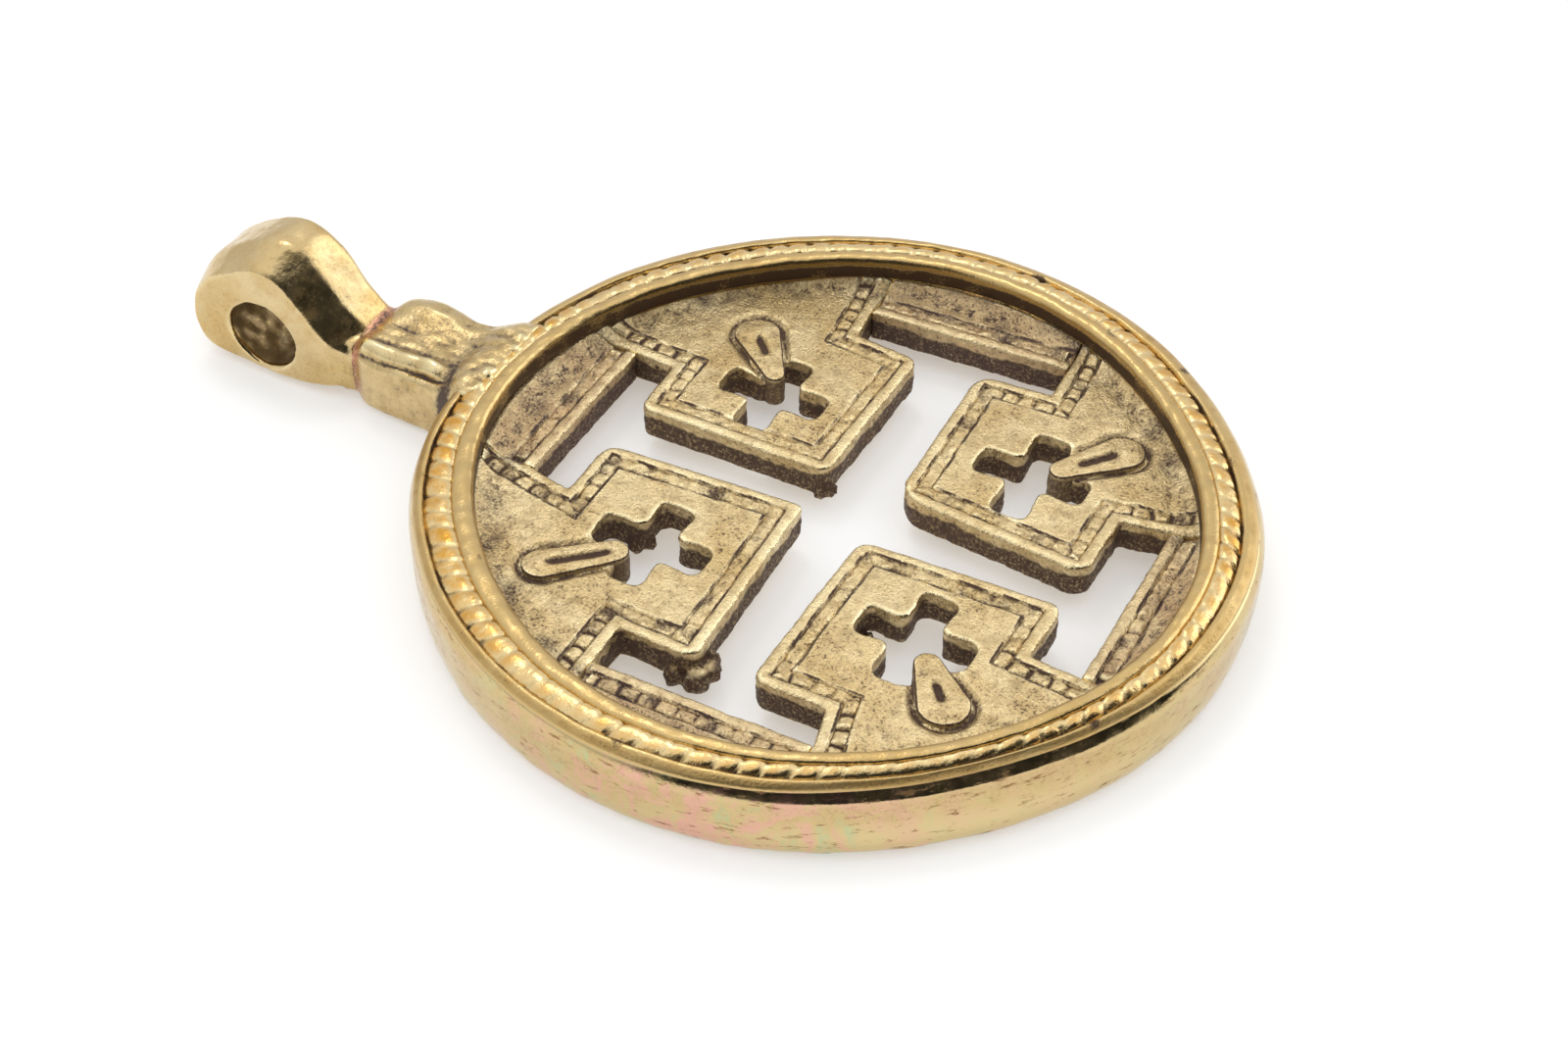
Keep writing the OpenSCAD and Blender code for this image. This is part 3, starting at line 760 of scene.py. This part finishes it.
for where, panel in PANELS.items():
    side_out, end_out = panel["side"][2], panel["end"][2]
    far_x, far_y = math.copysign(BEYOND, side_out[0]), math.copysign(BEYOND, end_out[1])
    outline = [panel["middle"], *panel["side"], (far_x, side_out[1], 0), (far_x, far_y, 0),
               (end_out[0], far_y, 0), *reversed(panel["end"])]
    plate = slab("quadrant_" + where, outline, PLATE_BACK, PLATE_TOP)
    trim_to_opening(plate)
    combine(plate, slab("cut", cross_outline(*panel["cross"]), 0, 5), "DIFFERENCE")
    add_flash(plate, FLASH[where])

    def relief(flat, panel=panel):
        height, lines, soiled = worked_edge(from_edge(flat, panel)[0])
        off_drop, _, _ = from_drop(flat, panel["drop"])
        left, right, low, high = panel["cross"]
        off_x, off_y = flat[:, 0] - (left + right) / 2, flat[:, 1] - (low + high) / 2
        pillow = 0.07 * np.clip(1 - (np.maximum(np.abs(off_x), np.abs(off_y)) - 1.0) / 2.2, 0, 1)
        seat = 0.5 * np.clip(-off_drop / 0.08 - 0.5, 0, 1)  # out of sight under the teardrop
        height = height + pillow - seat - 0.2 * groove(off_drop, 0.12, 0.2)
        lines = np.maximum(lines, 0.9 * groove(off_drop, 0.08, 0.13))
        return height, lines, np.maximum(soiled, 0.9 * groove(off_drop, 0.2, 0.35))

    cast_plate(plate, relief)
    finish_piece(plate, cast_brass, "cast_brass", "quadrant_" + where)

# ---------------------------------------------------------------------------------------
# Webs: the crescents left between the crossbars of the large cross and the rim. They are
# the same cast plate, but no thumb reaches them, so they keep their brown patina.
# ---------------------------------------------------------------------------------------
# the same brass under more of its brown oxide, so duller and blotched
patinated_brass = brass("patinated_brass", "EBD2A2", "F8E6B6", "CFB084", "58443C", hollow_from=0.04,
                        hollow_to=0.3, spread=0.34, smooth=0.24, rough=0.65, pitting=0.8, bumps_mm=0.045,
                        mottle_mm=0.5, pits_mm=0.11)

WEBS = {
    "top": (PANELS["top_left"]["end"][2], PANELS["top_right"]["end"][2], (0, BEYOND)),
    "left": (PANELS["top_left"]["side"][2], PANELS["bottom_left"]["side"][2], (-BEYOND, 0)),
    "bottom": (PANELS["bottom_left"]["end"][2], PANELS["bottom_right"]["end"][2], (0, -BEYOND)),
    "right": (PANELS["top_right"]["side"][2], PANELS["bottom_right"]["side"][2], (BEYOND, 0)),
}

for where, (start, end, outward) in WEBS.items():
    far_start = (start[0] + outward[0], start[1] + outward[1], 0)
    far_end = (end[0] + outward[0], end[1] + outward[1], 0)
    web = slab("web_" + where, [start, end, far_end, far_start], PLATE_BACK, PLATE_TOP)
    trim_to_opening(web)

    def relief(flat, line=(start, end, outward)):
        return worked_edge(from_line(flat, *line)[0], outer_line=0.07)

    cast_plate(web, relief)
    finish_piece(web, patinated_brass, "patinated_brass", "web_" + where)

# ---------------------------------------------------------------------------------------
# Beaded borders: a row of pads between two cut lines, run round each panel with a wheel
# or a bent punch. Crisp like a ladder near the rim, worn to soft lumps along the arms.
# ---------------------------------------------------------------------------------------
BEAD_GRID = 0.05      # spacing of the points on a border
BEAD = 0.78           # from one pad to the next
STRIP_THICK = 0.42    # how far a border's strip is sunk into its plate


def bead_strip(name, away_along, box, seed, crispness):
    """A strip of relief that fills a channel. away_along(flat points) gives how far they are from
    the cut edge and along it, and crispness(points) how sharp the pads are."""
    strip = bmesh.new()
    low, high = np.array(box[0]), np.array(box[1])
    size = high - low
    columns, rows = (int(side / BEAD_GRID) for side in size)
    bmesh.ops.create_grid(strip, x_segments=columns, y_segments=rows, size=0.5)
    for vert in strip.verts:
        vert.co = (low[0] + (vert.co.x + 0.5) * size[0], low[1] + (vert.co.y + 0.5) * size[1], PLATE_TOP)
    middles = np.array([f.calc_center_median()[:2] for f in strip.faces])
    away, _ = away_along(middles)
    inside = np.hypot(middles[:, 0], middles[:, 1] + CROSS_Y - RIM_Y) < OPENING_R + 0.1
    keep = (away > CHANNEL[0] - 0.06) & (away < CHANNEL[1] + 0.06) & inside
    strip.faces.ensure_lookup_table()
    bmesh.ops.delete(strip, geom=[strip.faces[i] for i in np.flatnonzero(~keep)], context="FACES")
    under = bmesh.ops.extrude_face_region(strip, geom=strip.faces[:])
    bmesh.ops.translate(strip, verts=[v for v in under["geom"] if isinstance(v, bmesh.types.BMVert)],
                        vec=(0, 0, -STRIP_THICK))
    bmesh.ops.recalc_face_normals(strip, faces=strip.faces)
    piece = new_piece(name, strip)
    points = points_of(piece.data)
    on_top = points[:, 2] > PLATE_TOP - 0.1
    away, along = away_along(points[:, :2])
    points[:, 1] += CROSS_Y
    across = (away - sum(CHANNEL) / 2) / ((CHANNEL[1] - CHANNEL[0]) / 2)
    turn = along / BEAD + 0.22 * lumps(points, 1.3, seed) + 0.1 * lumps(points, 0.5, seed + 5)
    across = across + 0.12 * lumps(points, 0.6, seed + 11)
    share = turn - np.floor(turn)
    crisp = np.clip(crispness(points) + 0.5 * lumps(points, 2.5, seed + 3), 0.1, 1)
    rung = np.exp(-((np.minimum(share, 1 - share) / 0.13) ** 2))
    height = (swell(points) - CHANNEL_DEEP + 0.17 * np.clip(1 - across**4, 0, 1) - 0.13 * rung * crisp
              + 0.09 * lumps(points, 0.4, seed + 7) * (1.2 - crisp * 0.6))
    points[:, 2] += np.where(on_top, height, 0)
    move_points(piece.data, points)
    in_cuts = np.maximum(np.clip((np.abs(across) - 0.72) / 0.2, 0, 1), rung * crisp)
    in_cuts = np.maximum(in_cuts, 0.3 + 0.42 * lumps(points, 0.9, 57))
    write_values(piece.data, "incised", np.where(on_top, in_cuts + 0.25 * lumps(points, 0.5, seed + 9), 1))
    return piece


def from_cross(points):
    """How far out from the large cross's arms, so that borders near the rim are crisper."""
    return np.clip((polar(points)[0] - 8) / 4, 0, 1) * 0.8 + 0.15


for i, (where, panel) in enumerate(PANELS.items()):
    sx, sy = math.copysign(1, panel["middle"][0]), math.copysign(1, panel["middle"][1])
    corners = np.array([(0.5 * sx, 0.5 * sy), (14.4 * sx, 14.6 * sy)])
    border = bead_strip("border_" + where, lambda flat, panel=panel: from_edge(flat, panel),
                        (corners.min(0), corners.max(0)), 60 + i, from_cross)
    finish_piece(border, cast_brass, "cast_brass", "border_" + where, scale=0.06)

# ---------------------------------------------------------------------------------------
# Web borders: the same beading along the outer edge of each crossbar, where it is half
# filled with dirt and reads as hatching.
# ---------------------------------------------------------------------------------------
WEAR = {"top": 0.25, "left": 0.7, "bottom": 0.35, "right": 0.35}  # 1 is crisp
INSET = 0.35          # from the ends of a web's edge to its border
for i, (where, (start, end, outward)) in enumerate(WEBS.items()):
    across = np.array(outward) / BEYOND * 1.8
    a, b = np.array(start[:2]), np.array(end[:2])
    inset = (b - a) / np.linalg.norm(b - a) * INSET
    ends = np.array([a + inset, b - inset, a + inset + across, b - inset + across])
    border = bead_strip("web_border_" + where,
                        lambda flat, line=(start, end, outward): from_line(flat, *line),
                        (ends.min(0), ends.max(0)), 80 + i, lambda points, kept=WEAR[where]: kept)
    finish_piece(border, patinated_brass, "patinated_brass", "web_border_" + where, scale=0.06)

# ---------------------------------------------------------------------------------------
# Teardrops: raised pear-shaped bosses on the diagonals, with a slot pressed in the top.
# Their points run out over the small crosses. They are part of the same casting.
# ---------------------------------------------------------------------------------------


def pear_outline(tip, end, r_tip, r_end):
    """A pear: an arc about its tip, an arc about its broad end, and the tangents between them."""
    along = (Vector(end) - Vector(tip)).normalized()
    start, stop = Vector(tip) + along * r_tip, Vector(end) - along * r_end
    meets = math.acos((r_tip - r_end) / (stop - start).length)
    bearing = math.atan2(along.y, along.x)
    ends = ((stop, r_end, -meets, meets), (start, r_tip, meets, math.tau - meets))
    return [
        (middle.x + radius * math.cos(bearing + a), middle.y + radius * math.sin(bearing + a), 0)
        for middle, radius, a_from, a_to in ends for a in np.linspace(a_from, a_to, 24)
    ]


for i, (where, panel) in enumerate(PANELS.items()):
    *_, r_end = panel["drop"]
    drop = slab("teardrop_" + where, pear_outline(*panel["drop"]), PLATE_BACK, PLATE_TOP + 0.03)
    recast(drop, spacing=0.055)
    points, normals = points_of(drop.data), normals_of(drop.data)
    flat = points[:, :2] - (0, CROSS_Y)
    outside, t, off = from_drop(flat, panel["drop"])
    face = np.clip((points[:, 2] - PLATE_TOP + 0.2) / 0.25, 0, 1)
    slot_middle, slot_half = 0.85 - panel["slot"] / 2, panel["slot"] / 2 + 0.15
    in_slot = np.exp(-((off / 0.2) ** 2)) * np.clip((slot_half - np.abs(t - slot_middle)) / 0.15, 0, 1)
    domed = 0.12 * np.clip(-outside / r_end, 0, 1)
    points[:, 2] += face * (domed - 0.26 * in_slot + 0.04 * lumps(points, 0.6, i))
    points[:, 2] += face * swell(points)
    points += normals * (0.03 * lumps(points, 0.35, 90 + i) * (1 - face))[:, None]
    move_points(drop.data, points)
    round_edge = np.clip((outside + 0.09) / 0.06, 0, 1)
    write_values(drop.data, "incised", np.clip(face * (1.2 * in_slot + round_edge), 0, 1))
    # the teardrop's sides below its face are darkened like the plates' cut sides: oxide together with
    # painted shade
    write_values(drop.data, "cut", 0.9 * (1 - face))
    finish_piece(drop, cast_brass, "cast_brass", "teardrop_" + where, scale=0.04)

# ---------------------------------------------------------------------------------------
# Neck: a short bar between the rim and the bail, trimmed with a knife in the wax and left
# rough on top. It is one run of metal with the bail, so both are shaped together and the
# bail is parted from it at the waist.
# ---------------------------------------------------------------------------------------
head_low, head_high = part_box("bail_head")
WAIST_Y = head_low.y / MM
HEAD_TOP = head_high.z / MM
HOLE = (19.65, 2.23, 1.6)  # y, z and radius of the cord hole
CREST_HALF = 0.95          # half the width of the head's flat crest
CREST_OFF = 0.35           # how far the crest sits off the middle
HEAD_HALF = 2.0            # half the width over its flat sides


def part_at(piece, name, y, keep_beyond):
    """A copy of a piece, cut off square at y and closed there."""
    side = bmesh.new()
    side.from_mesh(piece.data)
    everything = side.verts[:] + side.edges[:] + side.faces[:]
    cut = bmesh.ops.bisect_plane(side, geom=everything, plane_co=(0, y, 0), plane_no=(0, 1, 0),
                                 clear_inner=keep_beyond, clear_outer=not keep_beyond)
    rim_edges = [e for e in cut["geom_cut"] if isinstance(e, bmesh.types.BMEdge)]
    bmesh.ops.contextual_create(side, geom=rim_edges)
    return new_piece(name, side)


knuckle = bmesh.new()
# the crest's outline and the flat side's, from the waist along the table, round the tip and back
crest_view = [
    (-0.6, 0.5), (1.0, 0.1), (2.4, 0.0), (6.15, 0.0), (7.5, 0.5), (7.85, 1.8), (7.7, 3.4), (6.8, 4.85),
    (5.3, 6.0), (4.1, 6.5), (3.0, 6.4), (1.8, 5.45), (0.8, 4.1), (-0.6, 2.9),
]
side_view = [
    (-0.6, 0.8), (1.1, 0.5), (2.5, 0.35), (5.95, 0.35), (7.1, 0.75), (7.55, 1.9), (7.4, 3.2), (6.5, 4.45),
    (5.1, 5.35), (4.0, 5.7), (3.1, 5.45), (2.1, 4.45), (1.2, 3.15), (-0.6, 1.9),
]


def eased(view):
    """An outline with its corners cut twice over, so that it curves."""
    for _ in range(2):
        pairs = zip(view, view[1:] + view[:1])
        view = [(a[0] + (b[0] - a[0]) * t, a[1] + (b[1] - a[1]) * t) for a, b in pairs for t in (0.22, 0.78)]
    return view


loops = []
for x, view in ((-HEAD_HALF, side_view), (CREST_OFF - CREST_HALF, crest_view),
                (CREST_OFF + CREST_HALF, crest_view), (HEAD_HALF, side_view)):
    ring = [knuckle.verts.new((x, WAIST_Y + y, z)) for y, z in eased(view)]
    loops.append([knuckle.edges.new((a, b)) for a, b in zip(ring, ring[1:] + ring[:1])])
for one, other in zip(loops, loops[1:]):
    bmesh.ops.bridge_loops(knuckle, edges=one + other)
bmesh.ops.contextual_create(knuckle, geom=loops[0])
bmesh.ops.contextual_create(knuckle, geom=loops[-1])
bmesh.ops.recalc_face_normals(knuckle, faces=knuckle.faces)
bail = new_piece("bail", knuckle)

foot_y = RIM_Y + DISC_R - 1.75 - CROSS_Y
neck_y = WAIST_Y - CROSS_Y
bar = slab("bar", [
    (-2.9, foot_y, 0.5), (3.4, foot_y, 0.5), (2.9, foot_y + 1.7, 0.6), (2.4, foot_y + 2.8, 0.7),
    (2.3, neck_y - 1.0, 0.5), (1.8, neck_y + 0.6, 0), (-1.9, neck_y + 0.6, 0), (-2.05, neck_y - 0.9, 0.6),
    (-2.25, foot_y + 2.7, 0.7), (-2.6, foot_y + 1.5, 0.6),
], 0.2, 3.15)
edges = bmesh.new()
edges.from_mesh(bar.data)
upper = [e for e in edges.edges if all(v.co.z > 3 for v in e.verts)]
bmesh.ops.bevel(edges, geom=upper, affect="EDGES", offset=0.75, segments=4, profile=0.5, material=-1)
edges.to_mesh(bar.data)
edges.free()
combine(bail, bar, "UNION")
hole = bmesh.new()
bmesh.ops.create_cone(hole, cap_ends=True, segments=64, radius1=HOLE[2], radius2=HOLE[2], depth=8)
bmesh.ops.rotate(hole, verts=hole.verts, matrix=Matrix.Rotation(math.pi / 2, 3, "Y"))
bmesh.ops.translate(hole, verts=hole.verts, vec=(0, HOLE[0], HOLE[1]))
combine(bail, new_piece("hole", hole), "DIFFERENCE")
recast(bail, spacing=0.08, soften=30)

points, normals = points_of(bail.data), normals_of(bail.data)
x, y, z = points.T
on_head = np.clip((y - WAIST_Y - 0.2) / 0.8, 0, 1)
on_neck = np.clip((WAIST_Y - 0.1 - y) / 0.5, 0, 1)
up = np.clip(normals[:, 2] * 1.3, 0, 1)
from_hole = np.hypot(y - HOLE[0], z - HOLE[1]) - HOLE[2]
in_hole = np.clip(1 - from_hole / 0.25, 0, 1) * np.clip((1.9 - np.abs(x)) / 0.3, 0, 1)
# the knife's trimming on top of the neck: a ridge along one side, a furrow below it, a hump on the other
wander = 0.1 * lumps(points * (0, 1, 0), 1.6, 74)
ridge = groove(x + wander, -1.4, 0.34) - 0.7 * groove(x + wander, -1.9, 0.12)
ridge *= np.clip((y - RIM_Y - DISC_R + 0.2) / 1.0, 0, 1) * (1 + 0.3 * lumps(points, 1.1, 78))
hump = groove(y, WAIST_Y - 2.1, 1.5) * np.clip((x - 0.2) / 1.2, 0, 1)
scraped = 0.07 * lumps(points, 1.3, 70) + 0.07 * lumps(points * (1, 0.5, 1), 0.4, 71)
trimmed = 0.28 * ridge + 0.45 * hump + scraped
head_relief = (0.07 * lumps(points, 2.2, 75) + 0.03 * lumps(points, 0.8, 76) + 0.008 * lumps(points, 0.3, 79)
               + in_hole * 0.09 * lumps(points, 0.5, 77))
neck_relief = up * trimmed + 0.04 * lumps(points, 1.4, 72)
points = points + normals * (on_head * head_relief + on_neck * neck_relief)[:, None]
# both sides draw in towards the waist
spread = np.where(y > WAIST_Y, 0.9, 0.5)
pinch = 0.17 * np.exp(-(((y - WAIST_Y) / spread) ** 2))
points[:, 0] = points[:, 0] * (1 - pinch * np.where(x > 0, 0.35, 1)) - 0.12 * on_head
points[:, 1] += 0.4 * np.clip((y - HOLE[0] - 1) / 2, 0, 1)
points[:, 2] = 1.7 + (points[:, 2] - 1.7) * (1 - pinch * 0.9)
points[:, 2] = np.clip(points[:, 2], 0, HEAD_TOP)
# the foot of the neck spreads up over the rope, and dies away before the inner band
from_centre, _ = polar(points)
onto_rim = np.clip((DISC_R + 0.8 - from_centre) / 1.3, 0, 1)
points[:, 2] += 0.42 * up * (3 - 2 * onto_rim) * onto_rim**2 + 0.12 * up * onto_rim * lumps(points, 0.6, 83)
points[:, 2] -= 0.5 * np.clip((15.3 - from_centre) / 0.4, 0, 1) ** 2
move_points(bail.data, points)
# dirt lies where the neck meets the rim and under the ridge, and the waist keeps a pink flush
near_side = np.clip((-0.7 - points[:, 0]) / 0.5, 0, 1)
crevice = groove(from_centre, DISC_R + 0.3, 0.5) * (1 - 0.3 * up) * near_side
under_ridge = groove(x + wander, -1.9, 0.12) * on_neck * up * np.clip((y - RIM_Y - DISC_R) / 1.0, 0, 1)
under_ridge *= np.clip(0.7 + 0.9 * lumps(points, 0.6, 84), 0, 1)
write_values(bail.data, "incised", np.maximum(crevice, under_ridge))
# the inside of the cord hole is painted dark brown: as-cast oxide together with painted shade
write_values(bail.data, "cut", np.clip(in_hole * 1.2, 0, 0.78))
write_values(bail.data, "waist", groove(points[:, 1], WAIST_Y - 0.1, 0.45))

# scraped and rubbed brass: bright on the ridges, partly from wear and partly as a painted highlight,
# grey-brown in the furrows
neck_brass = brass("neck_brass", "DAC291", "F2E4B4", "C0A470", "54443A", hollow_from=0.05, hollow_to=0.45,
                   spread=0.16, smooth=0.16, rough=0.5, pitting=0.5, bumps_mm=0.03, mottle_mm=0.6,
                   tint="DC9A86", tint_by="waist", tinted=0.85)
neck = part_at(bail, "neck", WAIST_Y, keep_beyond=False)
finish_piece(neck, neck_brass, "cast_brass", "neck", reach=8, scale=0.06)

# ---------------------------------------------------------------------------------------
# Bail head: a solid knuckle with broad hand-filed bevels and a hole for the cord, rubbed bright by the cord
# and the hand, with a painted highlight on its edges. Only the hole is left as cast, and its inside is
# painted dark as painted shade over the oxide.
# ---------------------------------------------------------------------------------------
# the most polished metal on it: a mirror with faint yellow stains and few pits, and a painted highlight on
# its edges
head_brass = brass("head_brass", "D8C294", "F6E8BC", "C9AF79", "4A3B2E", hollow_from=0.2, hollow_to=0.8,
                   spread=0.08, smooth=0.14, rough=0.5, pitting=0.3, bumps_mm=0.02, tint="D2A355",
                   tinted=0.5)
head = part_at(bail, "bail_head", WAIST_Y, keep_beyond=True)
finish_piece(head, head_brass, "polished_brass", "bail_head", reach=8, scale=0.06)
bpy.data.objects.remove(bail)
